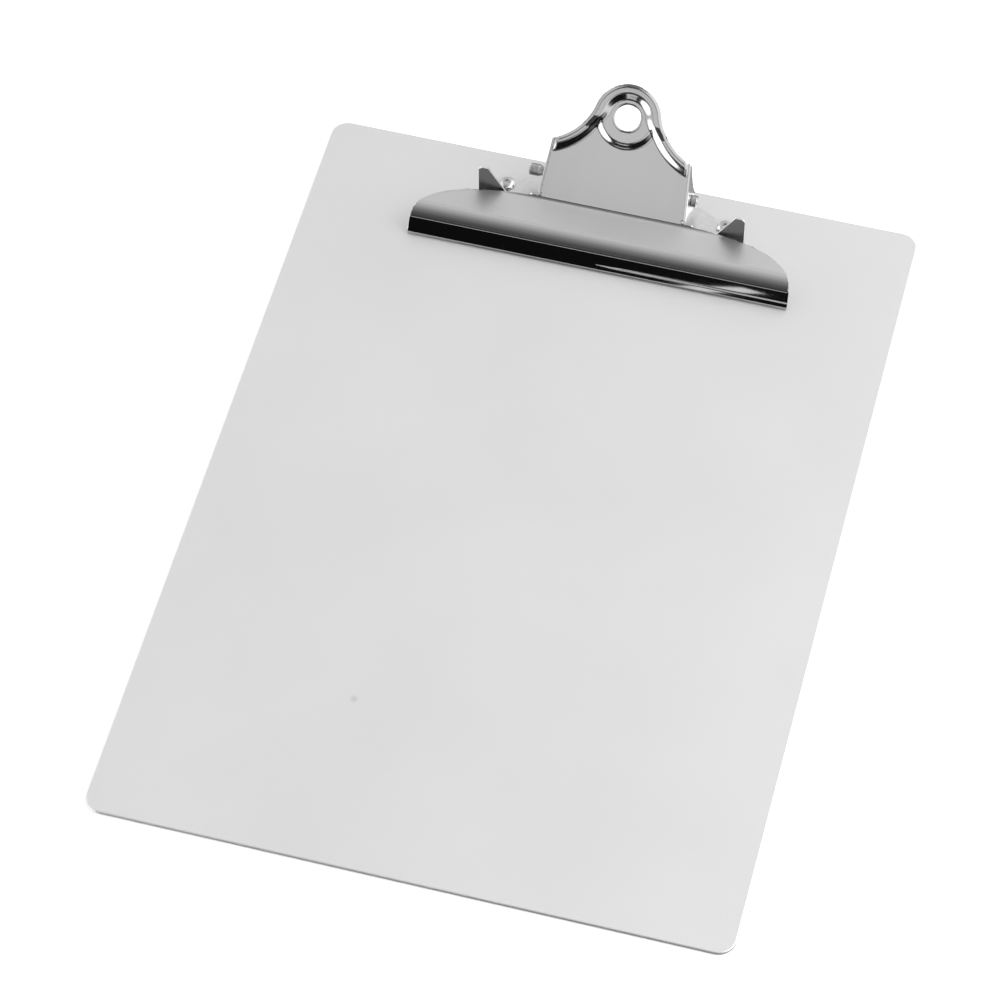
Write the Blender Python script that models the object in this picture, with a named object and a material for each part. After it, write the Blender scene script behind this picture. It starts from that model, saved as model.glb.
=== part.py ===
"""Letter-size sheet-metal clipboard with a sprung, chrome-plated lever clip.

Frame: metres, +Z up.  The origin is the centre of the board's back face, +X runs to the
right across the board and +Y runs up it, towards the clip.  Lengths below are in
millimetres; "top" is a distance measured back from the board's top edge (towards -Y), and
heights called z_... are measured up from the board's writing face.
"""
import math

import bmesh
import bpy
from mathutils import Matrix, Vector

MM = 0.001

# Board
BOARD_WIDTH = 228.6
BOARD_LENGTH = 317.5
BOARD_THICKNESS = 1.6
BOARD_CORNER_RADIUS = 6.35
BOARD_EDGE_ROUND = 0.35
GAP = 0.3                       # clearance kept between neighbouring pieces

# Hinge axis of the lever
PIVOT_TOP = 12.5
PIVOT_Z = 9.75
PIN_RADIUS = 1.6
PIN_FLARE_RADIUS = 2.3          # both ends are swaged out after assembly
PIN_FLARE_START = 28.9          # where each flare begins, just clear of the flanges
PIN_LEFT_END = 34.2
PIN_RIGHT_END = 31.0

# Lever sheet: neck plane, wing, rounded nose and gripping lip
LEVER_THICKNESS = 0.9
NECK_SLOPE = math.radians(46.0)
NOTCH_TOP = 24.0                # where the neck plane meets the wing
NOTCH_Z = 7.3
NOTCH_HALF_WIDTH = 28.8
SHOULDER_HALF_WIDTH = 27.0
RING_CENTRE = 36.4              # hole centre, measured up the neck from the notch
RING_RADIUS = 12.8
RING_HOLE_RADIUS = 4.9
SHOULDER_UP = 23.6              # shoulder corners, measured up the neck
SWEEP_RADIUS = 23.3             # hollow curve from each shoulder to the ring
VALLEY_RADIUS = 2.2             # bend between neck and wing
WING_RISE = math.radians(8.4)
WING_LENGTH = 12.9              # flat part of the wing along its rise
NOSE_RADIUS = 7.0
NOSE_END = math.radians(55.0)
FACET_SLOPE = math.radians(60.0)
FACET_LENGTH = 4.9
BEAD_RADIUS = 1.5               # rolled lower edge of the lip
BEAD_END = math.radians(125.0)
WING_HALF_WIDTH = 73.1
WING_REAR_TOP = 23.5            # rear edge of the wing beside the neck
WING_TIP_TOP = 47.0
WING_REAR_START = 30.0
WING_ROUNDNESS = 2.3            # superellipse exponent of the wing's plan corner

# Side flanges of the lever
FLANGE_APEX_RADIUS = 4.3
FLANGE_HOLE_RADIUS = PIN_RADIUS + 0.35
FLANGE_INSET = 0.03

# Base plate with its two paper stops and two hinge ears
PLATE_THICKNESS = 0.8
PLATE_REAR_TOP = 7.2
PLATE_FRONT_TOP = 36.5
PLATE_REAR_HALF = 30.0
PLATE_FRONT_HALF = 36.0
STOP_OUTER = 51.3
STOP_FRONT_TOP = 23.4
STOP_HEIGHT = 18.0
STOP_TIP_WIDTH = 3.6
STOP_CHAMFER = 1.2
STOP_ROOT_INNER = 37.4
RELIEF = 0.9                    # slit between a stop's root and the front of the plate
EAR_OUTER = 26.2
EAR_ROOT_HALF = 5.2
EAR_RADIUS = 3.5

# Rivets
RIVET_X = 42.4
RIVET_TOP = 15.3
RIVET_LOBE_RADIUS = 4.2
RIVET_HEAD_RADIUS = 3.1
RIVET_HEAD_HEIGHT = 1.3
RIVET_DIMPLE_RADIUS = 1.1
RIVET_SHANK_RADIUS = 1.6
RIVET_TAIL_RADIUS = 2.7
RIVET_TAIL_DEPTH = 0.8          # the tail is clenched into a countersink in the back
RIVET_TAIL_SET_BACK = 0.03

# Double torsion spring
WIRE_RADIUS = 0.7
COIL_RADIUS = 2.9               # to the middle of the wire
COIL_TURNS = 6                  # whole turns on each side
COIL_PITCH = 1.65
COIL_STEPS = 16                 # straight pieces in one turn
COIL_OUTER_X = 23.8
BAIL_REACH = 9.5                # how far the bail reaches up the neck past the pin
LEG_FOOT_TOP = 8.2


def clear_scene():
    for obj in list(bpy.data.objects):
        bpy.data.objects.remove(obj, do_unlink=True)


def at(x, top, z):
    """A point given across the board, back from its top edge and above its face."""
    return Vector((x, BOARD_LENGTH / 2 - top, BOARD_THICKNESS + z)) * MM


def material(name, colour, roughness, metallic):
    mat = bpy.data.materials.new(name)
    mat.use_nodes = True
    shader = mat.node_tree.nodes["Principled BSDF"]
    shader.inputs["Base Color"].default_value = (*colour, 1.0)
    shader.inputs["Roughness"].default_value = roughness
    shader.inputs["Metallic"].default_value = metallic
    return mat


def empty_at(name, place):
    pivot = bpy.data.objects.new(name, None)
    pivot.location = place
    bpy.context.scene.collection.objects.link(pivot)
    return pivot


def mesh_object(name, bm, mat=None, parent=None):
    """Turn a bmesh in world metres into an object, hung under an empty if one is given."""
    if parent is not None:
        bmesh.ops.translate(bm, verts=bm.verts, vec=-parent.location)
    bmesh.ops.recalc_face_normals(bm, faces=bm.faces)
    mesh = bpy.data.meshes.new(name)
    bm.to_mesh(mesh)
    bm.free()
    if mat is not None:
        mesh.materials.append(mat)
    obj = bpy.data.objects.new(name, mesh)
    bpy.context.scene.collection.objects.link(obj)
    obj.parent = parent
    return obj


def smooth(obj, angle=35.0):
    obj.data.shade_smooth()
    obj.data.set_sharp_from_angle(angle=math.radians(angle))
    return obj


def prism(points, depth):
    """A closed slab: the planar outline of world points, carried along depth."""
    bm = bmesh.new()
    base = bm.faces.new([bm.verts.new(p) for p in points])
    grown = bmesh.ops.extrude_face_region(bm, geom=[base])
    moved = [item for item in grown["geom"] if isinstance(item, bmesh.types.BMVert)]
    bmesh.ops.translate(bm, verts=moved, vec=depth)
    return bm


def cylinder(centre, axis, radius, length, segments=32):
    """A closed cylinder in mm sizes, centred on a world point, along an axis."""
    bm = bmesh.new()
    turn = Vector((0, 0, 1)).rotation_difference(Vector(axis)).to_matrix().to_4x4()
    bmesh.ops.create_cone(
        bm, cap_ends=True, segments=segments, radius1=radius * MM, radius2=radius * MM,
        depth=length * MM, matrix=Matrix.Translation(centre) @ turn)
    return bm


def turned(profile, centre, axis, segments=32):
    """A closed solid of revolution; profile holds (radius, distance along axis) in mm."""
    bm = bmesh.new()
    turn = Vector((0, 0, 1)).rotation_difference(Vector(axis)).to_matrix().to_4x4()
    place = Matrix.Translation(centre) @ turn
    rings = []
    for radius, along in profile:
        if radius == 0:
            rings.append([bm.verts.new(place @ Vector((0, 0, along * MM)))] * segments)
            continue
        ring = []
        for i in range(segments):
            a = 2 * math.pi * i / segments
            spot = Vector((radius * math.cos(a), radius * math.sin(a), along)) * MM
            ring.append(bm.verts.new(place @ spot))
        rings.append(ring)
    for low, high in zip(rings, rings[1:]):
        for i in range(segments):
            j = (i + 1) % segments
            corners = [low[i], low[j], high[j], high[i]]
            bm.faces.new(list(dict.fromkeys(corners)))
    return bm


def boolean(obj, bm, operation, name):
    """Add a Boolean with a hidden tool object in the same place in the tree."""
    tool = mesh_object(name, bm, parent=obj.parent)
    tool.hide_render = True
    tool.display_type = "WIRE"
    step = obj.modifiers.new(name, "BOOLEAN")
    step.operation = operation
    step.solver = "EXACT"
    step.object = tool
    return step


def cut(obj, bm, name):
    return boolean(obj, bm, "DIFFERENCE", name)


def join(obj, bm, name):
    return boolean(obj, bm, "UNION", name)


# ---------------------------------------------------------------------------- board

def rounded_rectangle(half_x, half_y, radius, steps=8):
    points = []
    for quarter, (sx, sy) in enumerate([(1, 1), (-1, 1), (-1, -1), (1, -1)]):
        for i in range(steps + 1):
            a = math.pi / 2 * (quarter + i / steps)
            points.append((sx * (half_x - radius) + radius * math.cos(a),
                           sy * (half_y - radius) + radius * math.sin(a)))
    return points


def rivet_hole(side):
    """Cutter for a rivet's hole through the board, countersunk from the back."""
    hole = RIVET_SHANK_RADIUS + GAP
    mouth = RIVET_TAIL_RADIUS + GAP
    profile = [(0, -BOARD_THICKNESS - 1), (mouth, -BOARD_THICKNESS - 1),
               (mouth, -BOARD_THICKNESS), (hole, -BOARD_THICKNESS + RIVET_TAIL_DEPTH + 0.1),
               (hole, 1), (0, 1)]
    return turned(profile, at(side * RIVET_X, RIVET_TOP, 0), (0, 0, 1))


def make_board(mat):
    outline = rounded_rectangle(BOARD_WIDTH / 2, BOARD_LENGTH / 2, BOARD_CORNER_RADIUS)
    points = [Vector((x, y, 0)) * MM for x, y in outline]
    board = mesh_object("board", prism(points, Vector((0, 0, BOARD_THICKNESS * MM))), mat)
    rounding = board.modifiers.new("edge_round", "BEVEL")
    rounding.width = BOARD_EDGE_ROUND * MM
    rounding.segments = 2
    rounding.limit_method = "ANGLE"
    rounding.angle_limit = math.radians(60)
    for side, label in ((-1, "left"), (1, "right")):
        cut(board, rivet_hole(side), f"cutter_board_{label}")
    return smooth(board)


# ----------------------------------------------------------------------- base plate

def mirrored(points):
    """Close a right-hand half outline (x, value) with its mirror image."""
    return points + [(-x, v) for x, v in reversed(points) if x != 0]


def ear_outline(steps=14):
    """The ear seen from the side as (top, z): a flared root under a round eye."""
    points = [(PIVOT_TOP + EAR_ROOT_HALF, GAP + PLATE_THICKNESS / 2)]
    for i in range(steps + 1):
        a = math.pi * i / steps
        points.append((PIVOT_TOP + EAR_RADIUS * math.cos(a), PIVOT_Z + EAR_RADIUS * math.sin(a)))
    points.append((PIVOT_TOP - EAR_ROOT_HALF, GAP + PLATE_THICKNESS / 2))
    return points


def stop_outline():
    """A paper stop seen from the front as (x, z)."""
    low = GAP + PLATE_THICKNESS / 2
    return [
        (STOP_OUTER, low),
        (STOP_OUTER, STOP_HEIGHT - STOP_CHAMFER),
        (STOP_OUTER - STOP_CHAMFER, STOP_HEIGHT),
        (STOP_OUTER - STOP_TIP_WIDTH, STOP_HEIGHT),
        (STOP_ROOT_INNER, low),
    ]


def make_base_plate(mat):
    slit_inner = STOP_ROOT_INNER - RELIEF
    half = [
        (PLATE_REAR_HALF, PLATE_REAR_TOP),
        (RIVET_X - 1.4, RIVET_TOP - 2.1),
        (STOP_OUTER, STOP_FRONT_TOP - 5.0),
        (STOP_OUTER, STOP_FRONT_TOP),
        (STOP_ROOT_INNER, STOP_FRONT_TOP),
        (STOP_ROOT_INNER, STOP_FRONT_TOP - RELIEF),
        (slit_inner, STOP_FRONT_TOP - RELIEF),
        (slit_inner, STOP_FRONT_TOP + RELIEF),
        (PLATE_FRONT_HALF, PLATE_FRONT_TOP - 3.0),
        (PLATE_FRONT_HALF - 3.0, PLATE_FRONT_TOP),
    ]
    rise = Vector((0, 0, PLATE_THICKNESS * MM))
    sheet = prism([at(x, top, GAP) for x, top in mirrored(half)], rise)
    plate = mesh_object("base_plate", sheet, mat)
    for side, label in ((-1, "left"), (1, "right")):
        lobe = cylinder(at(side * RIVET_X, RIVET_TOP, GAP + PLATE_THICKNESS / 2), (0, 0, 1),
                        RIVET_LOBE_RADIUS, PLATE_THICKNESS)
        join(plate, lobe, f"tool_lobe_{label}")
        stop = prism([at(side * x, STOP_FRONT_TOP, z) for x, z in stop_outline()],
                     Vector((0, PLATE_THICKNESS * MM, 0)))
        join(plate, stop, f"tool_stop_{label}")
        ear = prism([at(side * EAR_OUTER, top, z) for top, z in ear_outline()],
                    Vector((-side * PLATE_THICKNESS * MM, 0, 0)))
        join(plate, ear, f"tool_ear_{label}")
        hole = cylinder(at(side * RIVET_X, RIVET_TOP, 0), (0, 0, 1),
                        RIVET_SHANK_RADIUS + GAP, 10)
        cut(plate, hole, f"cutter_plate_{label}")
        eye = cylinder(at(side * EAR_OUTER, PIVOT_TOP, PIVOT_Z), (1, 0, 0),
                       PIN_RADIUS + GAP, 6)
        cut(plate, eye, f"cutter_ear_{label}")
    return smooth(plate)


# --------------------------------------------------------------------- rivets, pin

def make_rivet(label, side, mat):
    """Domed, dimpled head on the plate, a shank and a flared tail set into the back."""
    head_base = GAP + PLATE_THICKNESS + GAP
    dimple_z = head_base + RIVET_HEAD_HEIGHT / 2
    dome = RIVET_HEAD_RADIUS - RIVET_DIMPLE_RADIUS
    rim = 0.2
    profile = [(0, dimple_z), (RIVET_DIMPLE_RADIUS * 0.6, dimple_z)]
    for i in range(7):
        a = math.pi / 2 * i / 6
        profile.append((RIVET_DIMPLE_RADIUS + dome * math.sin(a),
                        head_base + rim + (RIVET_HEAD_HEIGHT - rim) * math.cos(a)))
    back = RIVET_TAIL_SET_BACK - BOARD_THICKNESS
    profile += [
        (RIVET_HEAD_RADIUS, head_base),
        (RIVET_SHANK_RADIUS, head_base),
        (RIVET_SHANK_RADIUS, back + RIVET_TAIL_DEPTH),
        (RIVET_TAIL_RADIUS, back),
        (RIVET_DIMPLE_RADIUS, back),
        (0, back + RIVET_TAIL_DEPTH / 2),
    ]
    centre = at(side * RIVET_X, RIVET_TOP, 0)
    return smooth(mesh_object(f"rivet_{label}", turned(profile, centre, (0, 0, 1), 24), mat))


def make_pin(mat):
    """Hinge rod: slim between the flanges, with both ends swaged out to hold it in."""
    flare_run = 0.9
    tip_round = 0.5
    profile = [
        (0, -PIN_LEFT_END),
        (PIN_FLARE_RADIUS - tip_round, -PIN_LEFT_END),
        (PIN_FLARE_RADIUS, tip_round - PIN_LEFT_END),
        (PIN_FLARE_RADIUS, -PIN_FLARE_START - 2 * flare_run),
        (PIN_RADIUS, -PIN_FLARE_START),
        (PIN_RADIUS, PIN_FLARE_START - flare_run / 2),
        (PIN_FLARE_RADIUS, PIN_FLARE_START),
        (PIN_FLARE_RADIUS, PIN_RIGHT_END - tip_round),
        (PIN_FLARE_RADIUS - tip_round, PIN_RIGHT_END),
        (0, PIN_RIGHT_END),
    ]
    centre = at(0, PIVOT_TOP, PIVOT_Z)
    return smooth(mesh_object("hinge_pin", turned(profile, centre, (1, 0, 0), 24), mat))


# ---------------------------------------------------------------------------- lever

UP_NECK = (-math.cos(NECK_SLOPE), math.sin(NECK_SLOPE))     # (top, z) up the neck
NECK_OUT = (math.sin(NECK_SLOPE), math.cos(NECK_SLOPE))     # (top, z) out of its face
VALLEY_TURN = NECK_SLOPE + WING_RISE
VALLEY_LENGTH = VALLEY_RADIUS * math.tan(VALLEY_TURN / 2)


def on_neck(x, up, out=0.0):
    """A point on the neck: across, up from the notch, and out of the outer face."""
    return at(x, NOTCH_TOP + up * UP_NECK[0] + out * NECK_OUT[0],
              NOTCH_Z + up * UP_NECK[1] + out * NECK_OUT[1])


def sweep_centre():
    """Centre (x, up) of the hollow curve that touches the ring and ends at a shoulder."""
    run = SHOULDER_HALF_WIDTH
    rise = SHOULDER_UP - RING_CENTRE
    span = math.hypot(run, rise)
    to_ring = RING_RADIUS + SWEEP_RADIUS
    along = (to_ring ** 2 - SWEEP_RADIUS ** 2 + span ** 2) / (2 * span)
    aside = math.sqrt(to_ring ** 2 - along ** 2)
    return ((along * run - aside * rise) / span,
            RING_CENTRE + (along * rise + aside * run) / span)


def neck_edge(up):
    """Half width of the straight part of the neck, below the shoulders."""
    taper = (SHOULDER_HALF_WIDTH - NOTCH_HALF_WIDTH) / SHOULDER_UP
    return NOTCH_HALF_WIDTH + taper * up


def wing_half_width(top):
    """Half width of the wing in plan: a superellipse corner out to the wing tips."""
    depth = WING_TIP_TOP - WING_REAR_TOP
    across = WING_HALF_WIDTH - WING_REAR_START
    share = min(1.0, max(0.0, (WING_TIP_TOP - top) / depth))
    return WING_REAR_START + across * (1 - share ** WING_ROUNDNESS) ** (1 / WING_ROUNDNESS)


def ring_rows():
    """Rows (up, half width) of the neck, from the top of the ring down to the valley."""
    sweep_x, sweep_up = sweep_centre()
    touch = math.atan2(sweep_up - RING_CENTRE, sweep_x)
    rows = []
    for i in range(1, 13):
        a = math.pi / 2 + (touch - math.pi / 2) * i / 12
        rows.append((RING_CENTRE + RING_RADIUS * math.sin(a), RING_RADIUS * math.cos(a)))
    start = math.pi + touch
    shoulder_x, shoulder_up = SHOULDER_HALF_WIDTH - sweep_x, SHOULDER_UP - sweep_up
    end = 2 * math.pi + math.atan2(shoulder_up, shoulder_x)
    for i in range(1, 12):
        a = start + (end - start) * i / 12
        rows.append((sweep_up + SWEEP_RADIUS * math.sin(a),
                     sweep_x + SWEEP_RADIUS * math.cos(a)))
    rows.append((SHOULDER_UP, SHOULDER_HALF_WIDTH - 0.5))
    rows.append((SHOULDER_UP - 0.5, neck_edge(SHOULDER_UP - 0.5)))
    return rows


def wing_profile():
    """The outer face from the valley bend to the lip's edge, as (top, z) points."""
    path = []
    start = (NOTCH_TOP + VALLEY_LENGTH * UP_NECK[0], NOTCH_Z + VALLEY_LENGTH * UP_NECK[1])
    centre = (start[0] + VALLEY_RADIUS * NECK_OUT[0], start[1] + VALLEY_RADIUS * NECK_OUT[1])
    for i in range(7):
        a = NECK_SLOPE - VALLEY_TURN * i / 6
        path.append((centre[0] - VALLEY_RADIUS * math.sin(a),
                     centre[1] - VALLEY_RADIUS * math.cos(a)))
    top, z = path[-1]
    run = WING_LENGTH - VALLEY_LENGTH
    for i in range(1, 9):
        path.append((top + run * i / 8 * math.cos(WING_RISE),
                     z + run * i / 8 * math.sin(WING_RISE)))
    path += arc_on(path[-1], NOSE_RADIUS, -WING_RISE, NOSE_END, 10)
    top, z = path[-1]
    for i in (1, 2):
        path.append((top + FACET_LENGTH * i / 2 * math.cos(FACET_SLOPE),
                     z - FACET_LENGTH * i / 2 * math.sin(FACET_SLOPE)))
    path += arc_on(path[-1], BEAD_RADIUS, FACET_SLOPE, BEAD_END, 6)
    return path


def arc_on(start, radius, fall_from, fall_to, steps):
    """Points of a convex arc that goes on from start, between two downward slopes."""
    centre = (start[0] - radius * math.sin(fall_from), start[1] - radius * math.cos(fall_from))
    points = []
    for i in range(1, steps + 1):
        a = fall_from + (fall_to - fall_from) * i / steps
        points.append((centre[0] + radius * math.sin(a), centre[1] + radius * math.cos(a)))
    return points


def wing_rows():
    """Rows (top, z, half width), with extra ones where the wing's rear edge sweeps out."""
    path = wing_profile()
    tops = [top for top, _ in path]
    rear_rows = []
    for i in range(13):
        share = math.cos(math.pi / 2 * i / 12) ** (2 / WING_ROUNDNESS)
        rear_rows.append(WING_TIP_TOP - (WING_TIP_TOP - WING_REAR_TOP) * share)
    rows = []
    for (top_a, z_a), (top_b, z_b) in zip(path, path[1:]):
        rows.append((top_a, z_a))
        for top in rear_rows:
            if top_a + 0.02 < top < top_b - 0.02:
                share = (top - top_a) / (top_b - top_a)
                rows.append((top, z_a + share * (z_b - z_a)))
    rows.append(path[-1])
    widest = max(tops)
    result = []
    for index, (top, z) in enumerate(rows):
        past_nose = index > len(rows) - 9
        half = wing_half_width(widest if past_nose and top > widest - 0.8 else top)
        result.append((top, z, half))
    return result


def lever_sheet():
    """The lever's outer skin as one strip of rows running from the ring to the lip."""
    bm = bmesh.new()
    rows = []
    for up, half in ring_rows():
        rows.append([bm.verts.new(on_neck(x, up)) for x in (-half, half)])
    for top, z, half in wing_rows():
        if top < WING_REAR_TOP:
            half = NOTCH_HALF_WIDTH
        rows.append([bm.verts.new(at(x, top, z)) for x in (-half, half)])
    crown = bm.verts.new(on_neck(0, RING_CENTRE + RING_RADIUS))
    bm.faces.new([crown, rows[0][0], rows[0][1]])
    for upper, lower in zip(rows, rows[1:]):
        bm.faces.new([upper[0], lower[0], lower[1], upper[1]])
    return bm


def flange_outline():
    """A side flange as (up, depth): from the shoulder round the pivot to the notch."""
    reach = (NOTCH_TOP - PIVOT_TOP, PIVOT_Z - NOTCH_Z)
    pivot_up = reach[0] * -UP_NECK[0] + reach[1] * UP_NECK[1]
    pivot_depth = reach[0] * NECK_OUT[0] - reach[1] * NECK_OUT[1]
    shoulder = Vector((SHOULDER_UP - 1.0, 0.3))
    notch = Vector((2.2, 0.3))
    apex = []
    for i in range(15):
        a = math.radians(25) + math.radians(150) * i / 14
        apex.append(Vector((pivot_up + FLANGE_APEX_RADIUS * math.cos(a),
                            pivot_depth + FLANGE_APEX_RADIUS * math.sin(a))))
    rear_bend = Vector((apex[0].x + 1.8, apex[0].y - 3.6))
    front_bend = Vector((apex[-1].x + 0.4, apex[-1].y - 3.2))
    return (curve_through(shoulder, rear_bend, apex[0]) + apex[1:-1]
            + curve_through(apex[-1], front_bend, notch))


def curve_through(start, bend, end, steps=6):
    """A quadratic curve from start to end, pulled towards bend."""
    points = []
    for i in range(steps + 1):
        t = i / steps
        points.append(start * (1 - t) ** 2 + bend * 2 * t * (1 - t) + end * t ** 2)
    return points


def make_lever(mat, pivot):
    lever = mesh_object("clamp_lever", lever_sheet(), mat, pivot)
    press = lever.modifiers.new("sheet", "SOLIDIFY")
    press.thickness = LEVER_THICKNESS * MM
    press.offset = -1.0
    press.use_even_offset = True
    for side, label in ((-1, "left"), (1, "right")):
        points = [on_neck(side * (neck_edge(up) - FLANGE_INSET), up, -depth)
                  for up, depth in flange_outline()]
        slab = prism(points, Vector((-side * LEVER_THICKNESS * MM, 0, 0)))
        join(lever, slab, f"tool_flange_{label}")
        eye = cylinder(at(side * NOTCH_HALF_WIDTH, PIVOT_TOP, PIVOT_Z), (1, 0, 0),
                       FLANGE_HOLE_RADIUS, 6)
        cut(lever, eye, f"cutter_flange_{label}")
    axis = Vector((0, -NECK_OUT[0], NECK_OUT[1]))
    hole = cylinder(on_neck(0, RING_CENTRE), axis, RING_HOLE_RADIUS, 8, 40)
    cut(lever, hole, "cutter_hanging_hole")
    return smooth(lever)


# --------------------------------------------------------------------------- spring

def foot_tangent(foot):
    """Angle on the coil where the straight leg from the foot runs on to it."""
    back, down = foot[0] - PIVOT_TOP, foot[1] - PIVOT_Z
    reach = math.hypot(back, down)
    return math.atan2(down, back) + math.acos(COIL_RADIUS / reach)


def coil_points(start, end):
    """The coil from the outer end to the inner end, as (x, top, z) points."""
    turns = (end - start) / (2 * math.pi)
    steps = round(turns * COIL_STEPS)
    points = []
    for i in range(steps + 1):
        a = start + (end - start) * i / steps
        points.append((COIL_OUTER_X - COIL_PITCH * turns * i / steps,
                       PIVOT_TOP + COIL_RADIUS * math.cos(a),
                       PIVOT_Z + COIL_RADIUS * math.sin(a)))
    return points


def spring_route():
    """Centre line of the double torsion spring, foot to foot, in world metres.

    Each foot rests on the plate behind the pin, each coil winds round the pin, and the
    bail between the coils presses up under the neck.
    """
    foot = (LEG_FOOT_TOP, GAP + PLATE_THICKNESS + GAP + WIRE_RADIUS)
    start = foot_tangent(foot)
    end = math.pi / 2 - NECK_SLOPE + 2 * math.pi * COIL_TURNS
    coil = [at(*point) for point in coil_points(start, end)]
    inner_x = coil[-1].x / MM
    pivot_up = ((NOTCH_TOP - PIVOT_TOP) * -UP_NECK[0] + (PIVOT_Z - NOTCH_Z) * UP_NECK[1])
    under = -LEVER_THICKNESS - GAP - WIRE_RADIUS
    top_up = pivot_up + BAIL_REACH
    bail = [on_neck(inner_x - 0.6, top_up - 4.0, under - 0.9),
            on_neck(inner_x - 1.0, top_up - 1.5, under),
            on_neck(inner_x - 1.9, top_up - 0.4, under),
            on_neck(inner_x - 3.2, top_up, under)]
    half = [at(COIL_OUTER_X, *foot)] + coil + bail
    other = [Vector((-p.x, p.y, p.z)) for p in reversed(half)]
    return half + other


def make_spring(mat):
    route = spring_route()
    wire = bpy.data.curves.new("torsion_spring", "CURVE")
    wire.dimensions = "3D"
    wire.bevel_depth = WIRE_RADIUS * MM
    wire.bevel_resolution = 2
    wire.use_fill_caps = True
    line = wire.splines.new("POLY")
    line.points.add(len(route) - 1)
    for point, spot in zip(line.points, route):
        point.co = (*spot, 1.0)
    wire.materials.append(mat)
    spring = bpy.data.objects.new("torsion_spring", wire)
    bpy.context.scene.collection.objects.link(spring)
    return spring


def main():
    clear_scene()
    board_mat = material("board_aluminium", (0.72, 0.72, 0.73), 0.45, 1.0)
    plate_mat = material("plated_steel", (0.62, 0.62, 0.63), 0.30, 1.0)
    chrome_mat = material("chrome", (0.80, 0.80, 0.81), 0.08, 1.0)
    spring_mat = material("spring_steel", (0.42, 0.42, 0.43), 0.35, 1.0)
    make_board(board_mat)
    make_base_plate(plate_mat)
    for side, label in ((-1, "left"), (1, "right")):
        make_rivet(label, side, plate_mat)
    make_pin(plate_mat)
    make_spring(spring_mat)
    make_lever(chrome_mat, empty_at("lever_pivot", at(0, PIVOT_TOP, PIVOT_Z)))


main()
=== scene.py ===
"""Looks of the letter-size clipboard: chrome clip, satin board, white studio.

Sizes are in millimetres until a point is placed; "top" is measured back from the board's
top edge and z from its writing face, as in the CAD part.
"""
import math

import bmesh
import bpy
import numpy as np
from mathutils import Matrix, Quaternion, Vector


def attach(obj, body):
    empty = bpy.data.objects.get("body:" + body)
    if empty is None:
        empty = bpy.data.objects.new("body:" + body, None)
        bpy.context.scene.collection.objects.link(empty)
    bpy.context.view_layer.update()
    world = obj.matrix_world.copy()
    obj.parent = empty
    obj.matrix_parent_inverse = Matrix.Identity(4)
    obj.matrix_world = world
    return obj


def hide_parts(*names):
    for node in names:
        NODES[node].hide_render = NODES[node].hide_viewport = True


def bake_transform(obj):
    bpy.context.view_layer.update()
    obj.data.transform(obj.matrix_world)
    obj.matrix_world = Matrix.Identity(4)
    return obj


MM = 0.001
BOARD_LENGTH = 317.5
BOARD_THICKNESS = 1.6

PIVOT_TOP = 12.5
PIVOT_Z = 9.75

# Lever sheet, as in the part
SHEET = 0.9
NECK_SLOPE = math.radians(46.0)
NOTCH_TOP = 24.0
NOTCH_Z = 7.3
NOTCH_HALF = 28.8
SHOULDER_HALF = 27.0
SHOULDER_UP = 23.6
RING_UP = 36.4
RING_RADIUS = 12.8
HOLE_RADIUS = 4.9
SWEEP_RADIUS = 23.3
VALLEY_RADIUS = 2.2
WING_RISE = math.radians(8.4)
WING_LENGTH = 12.9
NOSE_RADIUS = 7.9
NOSE_END = math.radians(55.0)
CREASE_START = math.radians(42.5)
CREASE_STOP = math.radians(49.5)
CREASE_RADIUS = 0.3
FACET_BOW = math.radians(0.6)
FACET_SLOPE = math.radians(61.5)
FACET_LENGTH = 6.5
WING_HALF = 73.1
WING_REAR_TOP = 23.5
WING_TIP_TOP = 47.0
WING_REAR_START = 30.0
WING_ROUNDNESS = 2.3
FOLD_RADIUS = 0.9
APEX_RADIUS = 4.25
FLANGE_SPLAY = math.radians(7.0)

# Flange edge as (up, depth): rounded end, bends in its sides, then where it meets the neck
APEX_ANGLES = (25, 175)
HEEL_BEND = (1.8, -3.6)
TOE_BEND = (0.4, -3.2)
FLANGE_HEEL = (SHOULDER_UP - 0.6, 1.0)
FLANGE_TOE = (2.3, 0.7)

# Relief cut between flange and wing on the flat blank, as (x, up)
RELIEF_CUT = [(27.2, 2.3), (26.9, 1.9), (27.2, 1.5), (29.0, 1.35)]
RELIEF_TOP = 1.8

# Pressed border and disc of the neck; the border is wider from BORDER_WIDENS up
BORDER_WIDTH = 2.2
BORDER_EXTRA = 0.9
BORDER_SLOPE = 2.8
BORDER_SLOPE_EXTRA = 0.2
BORDER_HEIGHT = 0.62
BORDER_WIDENS = (30.0, 38.0)
DISC_RADIUS = 9.6
DISC_SLOPE = 2.4
DISC_HEIGHT = 0.54
EDGE_SHARE = 0.75
HOLE_DIP = 0.12
HOLE_DIP_WIDTH = 0.4

# Step along the lower edge of the lip
STEP_TOP = 2.4
STEP_BOTTOM = 1.9
STEP_DEPTH = 0.10
STEP_FADE = (-4.0, 16.0)

# How finely curves are drawn
PROFILE_STEP = 0.02
FINE_STEP = 0.1
COARSE_STEP = 0.25
ARC_POINTS = 50

UP = (-math.cos(NECK_SLOPE), math.sin(NECK_SLOPE))
OUT = (math.sin(NECK_SLOPE), math.cos(NECK_SLOPE))

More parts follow.
